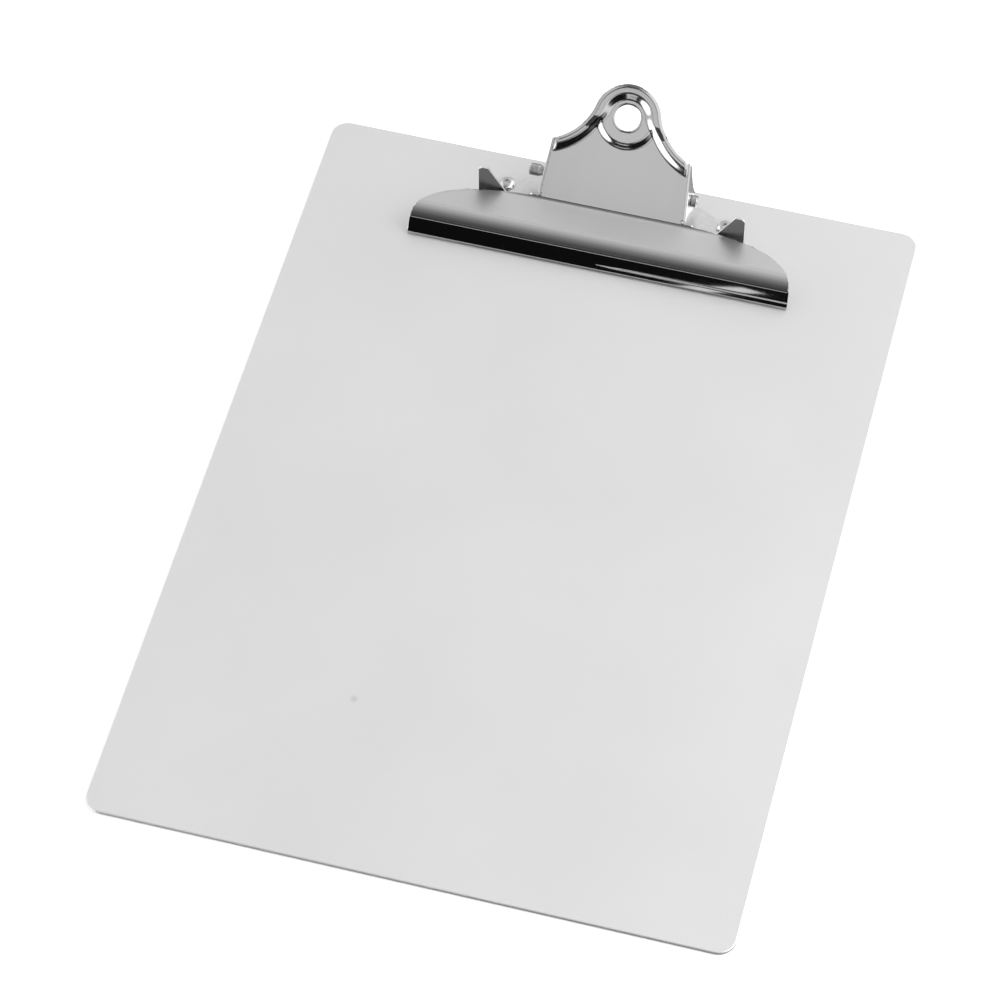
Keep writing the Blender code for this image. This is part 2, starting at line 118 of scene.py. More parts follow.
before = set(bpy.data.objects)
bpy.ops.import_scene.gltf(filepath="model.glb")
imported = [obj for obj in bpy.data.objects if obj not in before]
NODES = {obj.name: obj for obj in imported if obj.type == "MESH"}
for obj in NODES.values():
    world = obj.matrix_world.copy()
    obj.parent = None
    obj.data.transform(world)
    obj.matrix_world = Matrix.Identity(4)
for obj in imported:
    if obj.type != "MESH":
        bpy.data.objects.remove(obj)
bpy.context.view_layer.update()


def at(x, top, z):
    """World point in metres of a place given in millimetres."""
    return Vector((x, BOARD_LENGTH / 2 - top, BOARD_THICKNESS + z)) * MM


def clamp01(t):
    return np.clip(t, 0.0, 1.0)


def smoothstep(low, high, value):
    t = clamp01((value - low) / (high - low))
    return t * t * (3 - 2 * t)


# ------------------------------------------------------------------------- materials

def new_material(name):
    mat = bpy.data.materials.new(name)
    mat.use_nodes = True
    return mat, mat.node_tree.nodes, mat.node_tree.links


def node(nodes, kind, **inputs):
    made = nodes.new(kind)
    for key, value in inputs.items():
        made.inputs[key.replace("_", " ")].default_value = value
    return made


def ramp(nodes, stops):
    """A ramp of greys, given as (place, grey) pairs."""
    made = nodes.new("ShaderNodeValToRGB")
    elements = made.color_ramp.elements
    while len(elements) < len(stops):
        elements.new(0.5)
    for element, (place, grey) in zip(elements, stops):
        element.position = place
        element.color = (grey, grey, grey, 1)
    return made


def plug(links, value, socket):
    """Link an output to a socket, or set the socket to a plain value."""
    if isinstance(value, bpy.types.NodeSocket):
        links.new(value, socket)
    else:
        socket.default_value = value


def maths(nodes, links, operation, *values):
    made = nodes.new("ShaderNodeMath")
    made.operation = operation
    for value, socket in zip(values, made.inputs):
        plug(links, value, socket)
    return made.outputs[0]


def mixed(nodes, links, factor, first, second, blend="MIX"):
    """Two colours mixed by a factor, each of them an output or a plain value."""
    mix = nodes.new("ShaderNodeMix")
    mix.data_type = "RGBA"
    mix.blend_type = blend
    colours = [socket for socket in mix.inputs if socket.type == "RGBA"]
    plug(links, factor, mix.inputs["Factor"])
    plug(links, first, colours[0])
    plug(links, second, colours[1])
    return next(socket for socket in mix.outputs if socket.type == "RGBA")


def object_noise(nodes, links, scale, detail=3.0, stretch=(1, 1, 1), roughness=0.5):
    """Noise fixed to the object, in cells per metre, stretched along the axes."""
    place = nodes.new("ShaderNodeTexCoord")
    mapping = node(nodes, "ShaderNodeMapping", Scale=stretch)
    noise = node(nodes, "ShaderNodeTexNoise", Scale=scale, Detail=detail, Roughness=roughness)
    links.new(place.outputs["Object"], mapping.inputs["Vector"])
    links.new(mapping.outputs["Vector"], noise.inputs["Vector"])
    return noise


def ranged(nodes, links, value, low, high, from_low=0.3, from_high=0.7):
    """A value carried from one range to another; the first is where noise mostly lies."""
    made = node(nodes, "ShaderNodeMapRange", From_Min=from_low, From_Max=from_high,
                To_Min=low, To_Max=high)
    links.new(value, made.inputs["Value"])
    return made.outputs["Result"]


def tinted(nodes, links, factor, dark, light):
    return mixed(nodes, links, factor, (*dark, 1), (*light, 1))


def bump(nodes, links, shader, height, strength, distance):
    made = node(nodes, "ShaderNodeBump", Strength=strength, Distance=distance)
    links.new(height, made.inputs["Height"])
    links.new(made.outputs["Normal"], shader.inputs["Normal"])


def metal(name, dark, light, rough_low, rough_high, noise_scale, bump_depth=0.0):
    """A metal whose colour, gloss and surface wander a little over it."""
    mat, nodes, links = new_material(name)
    shader = nodes["Principled BSDF"]
    shader.inputs["Metallic"].default_value = 1.0
    coarse = object_noise(nodes, links, noise_scale)
    grey = ranged(nodes, links, coarse.outputs["Fac"], 0, 1)
    links.new(tinted(nodes, links, grey, dark, light), shader.inputs["Base Color"])
    fine = object_noise(nodes, links, noise_scale * 4)
    rough = ranged(nodes, links, fine.outputs["Fac"], rough_low, rough_high)
    links.new(rough, shader.inputs["Roughness"])
    if bump_depth:
        bump(nodes, links, shader, fine.outputs["Fac"], 0.4, bump_depth)
    return mat


def chrome():
    """Chrome plate over pressed steel: mirror-like on neck, nose and lip, satin on the wing.

    How dull it is comes from the sheet's "dullness" attribute, with fine streaks in it.
    """
    mat, nodes, links = new_material("chrome")
    shader = nodes["Principled BSDF"]
    shader.inputs["Metallic"].default_value = 1.0
    streaks = object_noise(nodes, links, 900, detail=4, stretch=(1.0, 0.04, 0.04))
    grain = object_noise(nodes, links, 2600, detail=2)
    dull = nodes.new("ShaderNodeAttribute")
    dull.attribute_name = "dullness"
    satin = maths(nodes, links, "MULTIPLY_ADD", grain.outputs["Fac"], 0.15,
                  ranged(nodes, links, dull.outputs["Fac"], 0, 1, 0.1, 0.5))
    links.new(tinted(nodes, links, satin, (0.78, 0.78, 0.785), (0.70, 0.70, 0.705)),
              shader.inputs["Base Color"])
    vary = ranged(nodes, links, streaks.outputs["Fac"], 0.97, 1.03)
    links.new(maths(nodes, links, "MULTIPLY", dull.outputs["Fac"], vary),
              shader.inputs["Roughness"])
    return mat


def aluminium():
    """Satin sheet: an even pale grey with a fine grain and a few pin-prick specks."""
    mat, nodes, links = new_material("satin_aluminium")
    shader = nodes["Principled BSDF"]
    shader.inputs["Metallic"].default_value = 0.8
    grain = object_noise(nodes, links, 1300, detail=3, roughness=0.7)
    cloud = object_noise(nodes, links, 14, detail=2)
    blend = maths(nodes, links, "MULTIPLY_ADD", grain.outputs["Fac"], 0.55,
                  ranged(nodes, links, cloud.outputs["Fac"], 0, 0.45))
    even = tinted(nodes, links, blend, (0.80, 0.80, 0.805), (0.87, 0.87, 0.87))
    place = nodes.new("ShaderNodeTexCoord")
    cells = node(nodes, "ShaderNodeTexVoronoi", Scale=26.0, Randomness=1.0)
    links.new(place.outputs["Object"], cells.inputs["Vector"])
    speck = ranged(nodes, links, cells.outputs["Distance"], 0.55, 1.0, 0.0, 0.045)
    links.new(mixed(nodes, links, 0.5, even, speck, "MULTIPLY"), shader.inputs["Base Color"])
    rough = ranged(nodes, links, grain.outputs["Fac"], 0.40, 0.50)
    links.new(rough, shader.inputs["Roughness"])
    bump(nodes, links, shader, grain.outputs["Fac"], 0.12, 0.00002)
    return mat


# Grey of the nickel by the way it faces, as painted shade: 0 to the board's front, 0.5 up, 1 to its
# top edge; faces turned to the front or to the top edge are painted dark
NICKEL_PAINTED_SHADE_BY_FACING = [(0.0, 0.30), (0.15, 0.34), (0.40, 0.88), (0.53, 0.88), (0.60, 0.22),
                    (1.0, 0.20)]


def nickel():
    """Nickel-plated strip with painted shade: bright where it lies flat, painted darker on its stops
    and sheared edges by the way they face.
    """
    mat, nodes, links = new_material("nickel_plate_painted_shade")
    shader = nodes["Principled BSDF"]
    shader.inputs["Metallic"].default_value = 1.0
    place = nodes.new("ShaderNodeTexCoord")
    split = nodes.new("ShaderNodeSeparateXYZ")
    links.new(place.outputs["Normal"], split.inputs["Vector"])
    # painted shade: this ramp darkens the base colour of faces turned to the board's front or its top
    # edge
    painted_facing_shade = ramp(nodes, NICKEL_PAINTED_SHADE_BY_FACING)
    links.new(ranged(nodes, links, split.outputs["Y"], 0, 1, -1, 1), painted_facing_shade.inputs["Fac"])
    grain = object_noise(nodes, links, 900, detail=3)
    worn = tinted(nodes, links, ranged(nodes, links, grain.outputs["Fac"], 0, 1),
                  (0.92, 0.92, 0.92), (1.0, 1.0, 1.0))
    links.new(mixed(nodes, links, 1.0, painted_facing_shade.outputs["Color"], worn, "MULTIPLY"),
              shader.inputs["Base Color"])
    links.new(ranged(nodes, links, grain.outputs["Fac"], 0.32, 0.42), shader.inputs["Roughness"])
    return mat


CHROME = chrome()
ALUMINIUM = aluminium()
NICKEL = nickel()
CUT_STEEL = metal("cut_edge", (0.16, 0.16, 0.16), (0.24, 0.24, 0.24), 0.30, 0.45, 900)
PIN_STEEL = metal("dull_steel", (0.44, 0.44, 0.44), (0.66, 0.66, 0.65), 0.25, 0.45, 900,
                  bump_depth=0.0001)
RIVET_STEEL = metal("bright_nickel", (0.66, 0.66, 0.66), (0.76, 0.76, 0.75), 0.12, 0.22, 300)
WIRE_STEEL = metal("spring_wire", (0.30, 0.30, 0.31), (0.48, 0.48, 0.48), 0.25, 0.40, 500)


def paint(obj, mat):
    obj.data.materials.clear()
    obj.data.materials.append(mat)


# ----------------------------------------------------------------------- lever sheet

def sweep_centre():
    """Centre (x, up) of the hollow curve that touches the ring and ends at a shoulder."""
    run, rise = SHOULDER_HALF, SHOULDER_UP - RING_UP
    span = math.hypot(run, rise)
    to_ring = RING_RADIUS + SWEEP_RADIUS
    along = (to_ring ** 2 - SWEEP_RADIUS ** 2 + span ** 2) / (2 * span)
    aside = math.sqrt(to_ring ** 2 - along ** 2)
    return ((along * run - aside * rise) / span,
            RING_UP + (along * rise + aside * run) / span)


def lever_profile():
    """The outer face down the middle: distance run, top, z and downward slope."""
    valley_turn = NECK_SLOPE + WING_RISE
    valley_length = VALLEY_RADIUS * math.tan(valley_turn / 2)
    neck_length = RING_UP + RING_RADIUS - valley_length
    parts = [
        (neck_length, NECK_SLOPE, NECK_SLOPE),
        (VALLEY_RADIUS * valley_turn, NECK_SLOPE, -WING_RISE),
        (WING_LENGTH - valley_length, -WING_RISE, -WING_RISE),
        (NOSE_RADIUS * (CREASE_START + WING_RISE), -WING_RISE, CREASE_START),
        (CREASE_RADIUS * (CREASE_STOP - CREASE_START), CREASE_START, CREASE_STOP),
        (NOSE_RADIUS * (NOSE_END - CREASE_STOP), CREASE_STOP, NOSE_END),
        (FACET_LENGTH, FACET_SLOPE - FACET_BOW, FACET_SLOPE + FACET_BOW),
    ]
    top = NOTCH_TOP + (RING_UP + RING_RADIUS) * UP[0]
    z = NOTCH_Z + (RING_UP + RING_RADIUS) * UP[1]
    run, rows, marks = 0.0, [], []
    for length, begin, end in parts:
        count = max(2, round(length / PROFILE_STEP))
        for i in range(count):
            slope = begin + (end - begin) * (i + 0.5) / count
            rows.append((run, top, z, begin + (end - begin) * i / count))
            run += length / count
            top += length / count * math.cos(slope)
            z -= length / count * math.sin(slope)
        marks.append(run)
    rows.append((run, top, z, parts[-1][2]))
    return np.array(rows), marks


PROFILE, MARKS = lever_profile()
NECK_END, VALLEY_END, WING_END, CREASE_RUN, _, NOSE_RUN_END, LIP_END = MARKS
RING_TOP_UP = RING_UP + RING_RADIUS
WING_REAR_RUN = float(np.interp(WING_REAR_TOP + 0.6, PROFILE[:, 1], PROFILE[:, 0]))


def neck_edge(up):
    """Half width of the neck between notch and shoulder."""
    return NOTCH_HALF + (SHOULDER_HALF - NOTCH_HALF) / SHOULDER_UP * up


def wing_half(top):
    """Half width of the wing, rounded off towards its rear corners."""
    share = clamp01((WING_TIP_TOP - top) / (WING_TIP_TOP - WING_REAR_TOP))
    bulge = (1 - share ** WING_ROUNDNESS) ** (1 / WING_ROUNDNESS)
    return WING_REAR_START + (WING_HALF - WING_REAR_START) * bulge


def arc(centre, radius, begin, end, count):
    angles = np.linspace(begin, end, count)
    return [(centre[0] + radius * math.cos(a), centre[1] + radius * math.sin(a))
            for a in angles]


def curve_through(start, bend, end, steps=10):
    start, bend, end = np.array(start), np.array(bend), np.array(end)
    return [tuple(start * (1 - t) ** 2 + bend * 2 * t * (1 - t) + end * t ** 2)
            for t in np.linspace(0, 1, steps)]


def flange_edge():
    """The flange's free edge as (up, depth below the neck)."""
    reach = (NOTCH_TOP - PIVOT_TOP, PIVOT_Z - NOTCH_Z)
    pivot_up = reach[0] * -UP[0] + reach[1] * UP[1]
    pivot_depth = reach[0] * OUT[0] - reach[1] * OUT[1]
    angles = np.radians(np.linspace(*APEX_ANGLES, 24))
    apex = [(pivot_up + APEX_RADIUS * math.cos(a), pivot_depth + APEX_RADIUS * math.sin(a))
            for a in angles]
    heel_bend = (apex[0][0] + HEEL_BEND[0], apex[0][1] + HEEL_BEND[1])
    toe_bend = (apex[-1][0] + TOE_BEND[0], apex[-1][1] + TOE_BEND[1])
    rear = curve_through(FLANGE_HEEL, heel_bend, apex[0])
    front = curve_through(apex[-1], toe_bend, FLANGE_TOE)
    return rear + apex[1:-1] + front


def unfolded(up, depth):
    """Where a flange point lies on the flat sheet, as (x, up)."""
    if depth < FOLD_RADIUS:
        run = FOLD_RADIUS * math.acos(1 - depth / FOLD_RADIUS)
    else:
        run = FOLD_RADIUS * (math.pi / 2 - 1) + depth
    return (neck_edge(up) - FOLD_RADIUS + run, up)


def blank_outline():
    """Right half of the flat blank as (x, run) points, from the ring's crown to the lip."""
    cx, cy = sweep_centre()
    touch = math.atan2(cy - RING_UP, cx)
    half = arc((0, RING_UP), RING_RADIUS, math.pi / 2, touch, ARC_POINTS)
    last = 2 * math.pi + math.atan2(SHOULDER_UP - cy, SHOULDER_HALF - cx)
    half += arc((cx, cy), SWEEP_RADIUS, math.pi + touch, last, ARC_POINTS)[1:]
    half += [unfolded(up, depth) for up, depth in flange_edge()]
    half += RELIEF_CUT
    points = [(x, RING_TOP_UP - up) for x, up in half]
    runs = np.concatenate([np.arange(NECK_END, VALLEY_END, FINE_STEP),
                           np.arange(VALLEY_END, LIP_END, COARSE_STEP), [LIP_END]])
    tops = np.interp(runs, PROFILE[:, 0], PROFILE[:, 1])
    points += [(float(wing_half(top)), run) for run, top in zip(runs, tops)
               if top > WING_REAR_TOP + 0.01]
    return points


def closed(half):
    """A half outline and its mirror image as one closed outline."""
    return np.array(half + [(-x, y) for x, y in reversed(half) if abs(x) > 1e-6])


def inside(points, ring):
    """Even-odd test of many points against one closed outline."""
    result = np.zeros(len(points), bool)
    x, y = points[:, 0], points[:, 1]
    for (x0, y0), (x1, y1) in zip(ring, np.roll(ring, -1, axis=0)):
        if y0 == y1:
            continue
        crosses = (y0 > y) != (y1 > y)
        result ^= crosses & (x < (x1 - x0) * (y - y0) / (y1 - y0) + x0)
    return result


def nearest_on(points, ring):
    """Nearest point of a closed outline to each point, and how far it is."""
    best = np.full(len(points), 1e9)
    spot = points.copy()
    for a, b in zip(ring, np.roll(ring, -1, axis=0)):
        d = b - a
        size = d @ d
        if size < 1e-12:
            continue
        t = clamp01(((points - a) @ d) / size)
        near = a + t[:, None] * d
        gap = np.hypot(*(points - near).T)
        closer = gap < best
        best[closer] = gap[closer]
        spot[closer] = near[closer]
    return spot, best


def grid_lines(marks):
    """Sorted positions that fill each (end, spacing) stretch, starting from zero."""
    lines = [0.0]
    for end, spacing in marks:
        start = lines[-1]
        count = max(1, round((end - start) / spacing))
        lines += [start + (end - start) * (i + 1) / count for i in range(count)]
    return lines


def trimmed_grid(columns, rows, ring, hole):
    """Quads and triangles filling an outline less a hole, with the edge drawn on to it."""
    gx, gy = np.meshgrid(columns, rows)
    points = np.stack([gx.ravel(), gy.ravel()], 1)
    step_x = np.gradient(np.array(columns))
    step_y = np.gradient(np.array(rows))
    reach = 0.5 * np.minimum(*np.meshgrid(step_x, step_y)).ravel()
    kept = inside(points, ring)
    near_ring, gap_ring = nearest_on(points, ring)
    off_hole = points - hole[:2]
    radial = np.hypot(*off_hole.T)
    kept &= radial > hole[2]
    drawn = gap_ring < reach
    points[drawn] = near_ring[drawn]
    rim = np.abs(radial - hole[2]) < reach
    points[rim] = hole[:2] + off_hole[rim] / radial[rim, None] * hole[2]
    kept |= drawn | rim
    for corner in sharp_corners(ring):
        gaps = np.hypot(*(points - corner).T)
        points[np.where(kept, gaps, 1e9).argmin()] = corner
    width = len(columns)
    faces = []
    for j in range(len(rows) - 1):
        for i in range(width - 1):
            quad = [j * width + i, (j + 1) * width + i, (j + 1) * width + i + 1, j * width + i + 1]
            held = [k for k in quad if kept[k]]
            if len(held) >= 3:
                faces.append(held)
    return points, faces


def sharp_corners(ring):
    """Points of a closed outline where it turns by more than half a radian."""
    before = ring - np.roll(ring, 1, axis=0)
    after = np.roll(ring, -1, axis=0) - ring
    turn = np.abs(np.arctan2(before[:, 0] * after[:, 1] - before[:, 1] * after[:, 0],
                             (before * after).sum(1)))
    return ring[turn > 0.5]


def border_gap(x, up):
    """Distance in from the ring-and-shoulder outline, and from the ring's centre."""
    cx, cy = sweep_centre()
    from_ring = np.hypot(x, up - RING_UP)
    from_sweep = np.hypot(np.abs(x) - cx, up - cy)
    touch = math.atan2(cy - RING_UP, cx)
    on_ring = np.arctan2(up - RING_UP, np.abs(x)) > touch
    gap = np.where(on_ring, RING_RADIUS - from_ring, from_sweep - SWEEP_RADIUS)
    return gap, from_ring


def ramp_down(t):
    """From one to zero over t = 0..1: a straight slope with eased ends."""
    ease = 0.2
    t = clamp01(t)
    middle = (t - ease / 2) / (1 - ease)
    start = t * t / (2 * ease * (1 - ease))
    end = 1 - (1 - t) ** 2 / (2 * ease * (1 - ease))
    return 1 - np.where(t < ease, start, np.where(t > 1 - ease, end, middle))


def emboss(x, up):
    """Height pressed out of the neck: a border round its edge and a disc round the hole."""
    gap, from_ring = border_gap(x, up)
    upper = smoothstep(*BORDER_WIDENS, up)
    border = ramp_down((gap - BORDER_WIDTH - BORDER_EXTRA * upper)
                       / (BORDER_SLOPE + BORDER_SLOPE_EXTRA * upper))
    disc = np.maximum(ramp_down((from_ring - DISC_RADIUS) / DISC_SLOPE),
                      smoothstep(RING_UP - 6, RING_UP - 1, up))
    height = DISC_HEIGHT * disc + BORDER_HEIGHT * border
    rolled = EDGE_SHARE + (1 - EDGE_SHARE) * smoothstep(0.0, 1.0, gap)
    dip = HOLE_DIP * (1 - smoothstep(HOLE_RADIUS, HOLE_RADIUS + HOLE_DIP_WIDTH, from_ring))
    side = 1 - smoothstep(-2.2, -1.3, np.abs(x) - neck_edge(up))
    low = smoothstep(SHOULDER_UP - 12, SHOULDER_UP - 8, up)
    return (height * rolled - dip) * side * low


def wing_dress(x, run):
    """The lip's lower edge is stepped in along its right half."""
    step = smoothstep(LIP_END - STEP_TOP, LIP_END - STEP_BOTTOM, run)
    return -STEP_DEPTH * step * smoothstep(*STEP_FADE, x)


def placed(x, run):
    """World point (metres) of the sheet's outer face for a point of the flat blank."""
    up = RING_TOP_UP - run
    top = np.interp(run, PROFILE[:, 0], PROFILE[:, 1])
    z = np.interp(run, PROFILE[:, 0], PROFILE[:, 2])
    slope = np.interp(run, PROFILE[:, 0], PROFILE[:, 3])
    side, across = np.sign(x), np.abs(x)
    height = np.zeros_like(x)
    above = up > RELIEF_TOP
    height[above] = emboss(x[above], up[above])
    wing = run > WING_REAR_RUN
    height[wing] = wing_dress(x[wing], run[wing])
    past = np.where(above, across - (neck_edge(up) - FOLD_RADIUS), -1.0)
    fold = math.pi / 2 - FLANGE_SPLAY
    turn = np.clip(past / FOLD_RADIUS, 0, fold)
    beyond = np.maximum(past - FOLD_RADIUS * fold, 0)
    depth = FOLD_RADIUS * (1 - np.cos(turn)) + beyond * math.cos(FLANGE_SPLAY)
    folded = (neck_edge(up) - FOLD_RADIUS + FOLD_RADIUS * np.sin(turn)
              + beyond * math.sin(FLANGE_SPLAY))
    across = np.where(past > 0, folded, across)
    lift = height - np.where(past > 0, depth, 0)
    top = top + lift * np.sin(slope)
    z = z + lift * np.cos(slope)
    return np.stack([side * across, BOARD_LENGTH / 2 - top, BOARD_THICKNESS + z], 1) * MM


# Spacing of the sheet's grid as (end, spacing) stretches, finest at folds and steps
COLUMN_GRID = [(25.0, 0.4), (31.0, 0.22), (42.0, 0.5), (64.0, 0.8), (WING_HALF, 0.35)]
ROW_GRID = [(NECK_END, 0.4), (VALLEY_END, 0.22), (WING_END, 0.5), (CREASE_RUN, 0.35),
            (CREASE_RUN + 0.04, 0.02), (NOSE_RUN_END - 0.17, 0.3), (NOSE_RUN_END + 0.17, 0.17),
            (LIP_END - STEP_TOP, 0.5), (LIP_END - STEP_BOTTOM, 0.1), (LIP_END, 0.4)]

# Dullness of the chrome down the sheet as (run, roughness)
DULLNESS = [(NECK_END, 0.10), (VALLEY_END, 0.42), (WING_END, 0.42), (WING_END + 1.2, 0.09),
            (NOSE_RUN_END, 0.03)]

EDGE_BEVEL = 0.12
EDGE_ANGLE = math.radians(50)


def face_outwards(mesh):
    """Turn the sheet's faces so that the middle of its neck faces up."""
    bm = bmesh.new()
    bm.from_mesh(mesh)
    bmesh.ops.recalc_face_normals(bm, faces=bm.faces)
    middle = min(bm.faces, key=lambda f: (f.calc_center_median() - at(0, 30, 8)).length)
    if middle.normal.z < 0:
        bmesh.ops.reverse_faces(bm, faces=bm.faces)
    bm.to_mesh(mesh)
    bm.free()


def lever_mesh():
    """The outer face of the lever's sheet."""
    half = grid_lines(COLUMN_GRID)
    columns = [-x for x in reversed(half[1:])] + half
    hole = np.array([0.0, RING_RADIUS, HOLE_RADIUS])
    points, faces = trimmed_grid(columns, grid_lines(ROW_GRID), closed(blank_outline()), hole)
    spots = placed(points[:, 0], points[:, 1])
    used = sorted({k for face in faces for k in face})
    index = {k: i for i, k in enumerate(used)}
    mesh = bpy.data.meshes.new("lever_sheet")
    mesh.from_pydata([tuple(spots[k]) for k in used], [], [[index[k] for k in f] for f in faces])
    face_outwards(mesh)
    dull = np.interp(points[used, 1], *zip(*DULLNESS))
    store = mesh.attributes.new("dullness", "FLOAT", "POINT")
    store.data.foreach_set("value", dull.astype(np.float32))
    return mesh


def make_lever():
    mesh = lever_mesh()
    lever = bpy.data.objects.new("lever_sheet", mesh)
    bpy.context.scene.collection.objects.link(lever)
    press = lever.modifiers.new("sheet", "SOLIDIFY")
    press.thickness = SHEET * MM
    press.offset = -1.0
    press.use_even_offset = False
    press.material_offset_rim = 1
    edge = lever.modifiers.new("edge", "BEVEL")
    edge.width = EDGE_BEVEL * MM
    edge.segments = 2
    edge.limit_method = "ANGLE"
    edge.angle_limit = EDGE_ANGLE
    mesh.shade_smooth()
    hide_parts("clamp_lever")
    return lever


# ---------------------------------------------------------------------------- spring

WIRE_RADIUS = 0.7
COIL_RADIUS = 2.9
COIL_TURNS = 6
COIL_PITCH = 1.65
COIL_OUTER = 23.8
BAIL_REACH = 9.5
FOOT_TOP = 8.2
PLATE_TOP_Z = 1.1
WIRE_GAP = 0.3
COIL_STEPS = 32
FOOT_STEPS = 8
BAIL_STEPS = 6


def spring_path():
    """Centre line of one half of the spring: foot, coil, then half the bail."""
    foot = (FOOT_TOP, PLATE_TOP_Z + WIRE_GAP + WIRE_RADIUS)
    back, down = foot[0] - PIVOT_TOP, foot[1] - PIVOT_Z
    start = math.atan2(down, back) + math.acos(COIL_RADIUS / math.hypot(back, down))
    end = math.pi / 2 - NECK_SLOPE + 2 * math.pi * COIL_TURNS
    turns = (end - start) / (2 * math.pi)
    first = at(COIL_OUTER, PIVOT_TOP + COIL_RADIUS * math.cos(start),
               PIVOT_Z + COIL_RADIUS * math.sin(start))
    leg_start = at(COIL_OUTER, *foot)
    path = [leg_start.lerp(first, i / FOOT_STEPS) for i in range(FOOT_STEPS)]
    steps = round(turns * COIL_STEPS)
    for i in range(steps + 1):
        a = start + (end - start) * i / steps
        path.append(at(COIL_OUTER - COIL_PITCH * turns * i / steps,
                       PIVOT_TOP + COIL_RADIUS * math.cos(a),
                       PIVOT_Z + COIL_RADIUS * math.sin(a)))
    inner = path[-1].x / MM
    reach = (NOTCH_TOP - PIVOT_TOP) * -UP[0] + (PIVOT_Z - NOTCH_Z) * UP[1]
    under = -SHEET - WIRE_GAP - WIRE_RADIUS
    high = reach + BAIL_REACH
    bail = [(inner - 0.6, high - 4.0, under - 0.9), (inner - 1.0, high - 1.5, under),
            (inner - 1.9, high - 0.4, under), (inner - 3.2, high, under),
            (inner / 2, high, under), (0, high, under)]
    knots = [path[-1]] + [at(x, NOTCH_TOP + up * UP[0] + out * OUT[0],
                             NOTCH_Z + up * UP[1] + out * OUT[1]) for x, up, out in bail]
    for a, b, c, d in zip([knots[0]] + knots, knots, knots[1:], knots[2:] + [knots[-1]]):
        for i in range(1, BAIL_STEPS + 1):
            path.append(spline_point(a, b, c, d, i / BAIL_STEPS))
    return path, inner


def spline_point(a, b, c, d, t):
    """A point between b and c on the smooth curve through four knots."""
    pull_b = (c - a) * 0.3
    pull_c = (d - b) * 0.3
    return (b * (2 * t ** 3 - 3 * t ** 2 + 1) + pull_b * (t ** 3 - 2 * t ** 2 + t)
            + c * (3 * t ** 2 - 2 * t ** 3) + pull_c * (t ** 3 - t ** 2))


def tube(name, path, radius, sides=14):
    """A closed round tube along a line of world points."""
    bm = bmesh.new()
    aim = (path[1] - path[0]).normalized()
    lean = aim.orthogonal().normalized()
    rings = []
    for i, spot in enumerate(path):
        before = path[max(i - 1, 0)]
        after = path[min(i + 1, len(path) - 1)]
        new_aim = (after - before).normalized()
        lean = aim.rotation_difference(new_aim) @ lean
        lean = (lean - new_aim * lean.dot(new_aim)).normalized()
        aim = new_aim
        other = aim.cross(lean)
        rings.append([bm.verts.new(spot + (lean * math.cos(2 * math.pi * k / sides)
                                           + other * math.sin(2 * math.pi * k / sides)) * radius * MM)
                      for k in range(sides)])
    for low, high in zip(rings, rings[1:]):
        for k in range(sides):
            n = (k + 1) % sides
            bm.faces.new([low[k], low[n], high[n], high[k]])
    bm.faces.new(list(reversed(rings[0])))
    bm.faces.new(rings[-1])
    bmesh.ops.recalc_face_normals(bm, faces=bm.faces)
    mesh = bpy.data.meshes.new(name)
    bm.to_mesh(mesh)
    bm.free()
    mesh.shade_smooth()
    mesh.set_sharp_from_angle(angle=math.radians(50))
    obj = bpy.data.objects.new(name, mesh)
    bpy.context.scene.collection.objects.link(obj)
    return obj


def make_springs():
    path, inner = spring_path()
    for side, label in ((1, "right"), (-1, "left")):
        line = [Vector((side * p.x, p.y, p.z)) for p in path]
        half = tube(f"spring_{label}", line, WIRE_RADIUS)
        paint(half, WIRE_STEEL)
        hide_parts("torsion_spring")
        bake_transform(half)


# ------------------------------------------------------------------------ the pieces

lever = make_lever()
paint(lever, CHROME)
lever.data.materials.append(CUT_STEEL)
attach(lever, "lever_body")
make_springs()

PLATE_BEVEL = 0.3

soft_edge = NODES["base_plate"].modifiers.new("soft_edge", "BEVEL")
soft_edge.width = PLATE_BEVEL * MM
soft_edge.segments = 3
soft_edge.use_clamp_overlap = False
soft_edge.limit_method = "ANGLE"
soft_edge.angle_limit = math.radians(40)

for name, mat in (("board", ALUMINIUM), ("base_plate", NICKEL), ("hinge_pin", PIN_STEEL),
                  ("rivet_left", RIVET_STEEL), ("rivet_right", RIVET_STEEL)):
    paint(NODES[name], mat)

# ---------------------------------------------------------------------------- studio

FLOOR_RADIUS = 6.0
FLOOR_DROP = 0.0002


def make_floor():
    """White paper under the board, left out of what the metal mirrors."""
    mesh = bpy.data.meshes.new("floor")
    bm = bmesh.new()
    bmesh.ops.create_circle(bm, cap_ends=True, segments=96, radius=FLOOR_RADIUS)
    bmesh.ops.translate(bm, verts=bm.verts, vec=(0, 0, -FLOOR_DROP))
    bm.to_mesh(mesh)
    bm.free()
    floor = bpy.data.objects.new("floor", mesh)
    bpy.context.scene.collection.objects.link(floor)
    mat, nodes, _ = new_material("white_floor")
    shader = nodes["Principled BSDF"]
    shader.inputs["Base Color"].default_value = (0.97, 0.97, 0.97, 1)
    shader.inputs["Roughness"].default_value = 0.9
    shader.inputs["Specular IOR Level"].default_value = 0.1
    shader.inputs["Emission Color"].default_value = (1, 1, 1, 1)
    shader.inputs["Emission Strength"].default_value = 0.35
    paint(floor, mat)
    floor.visible_glossy = False


# Brightness round the studio as (angle, grey).  Angles run in degrees from straight ahead
# (0) over the top (90) to the back (180).
LOWEST_ANGLE = -45
HIGHEST_ANGLE = 180
CORRIDOR = [(-45, 0.02), (0, 0.004), (8.5, 0.004), (9.5, 0.70), (12.5, 0.70), (14, 0.05),
            (25, 0.042), (37, 0.045), (57, 0.08), (79, 0.19), (99, 0.36), (125, 0.54),
            (142, 0.55), (180, 0.56)]
TENT = [(-45, 0.5), (20, 0.54), (65, 0.64), (90, 0.96), (120, 1.09), (142, 1.08), (162, 0.7),
        (180, 0.6)]

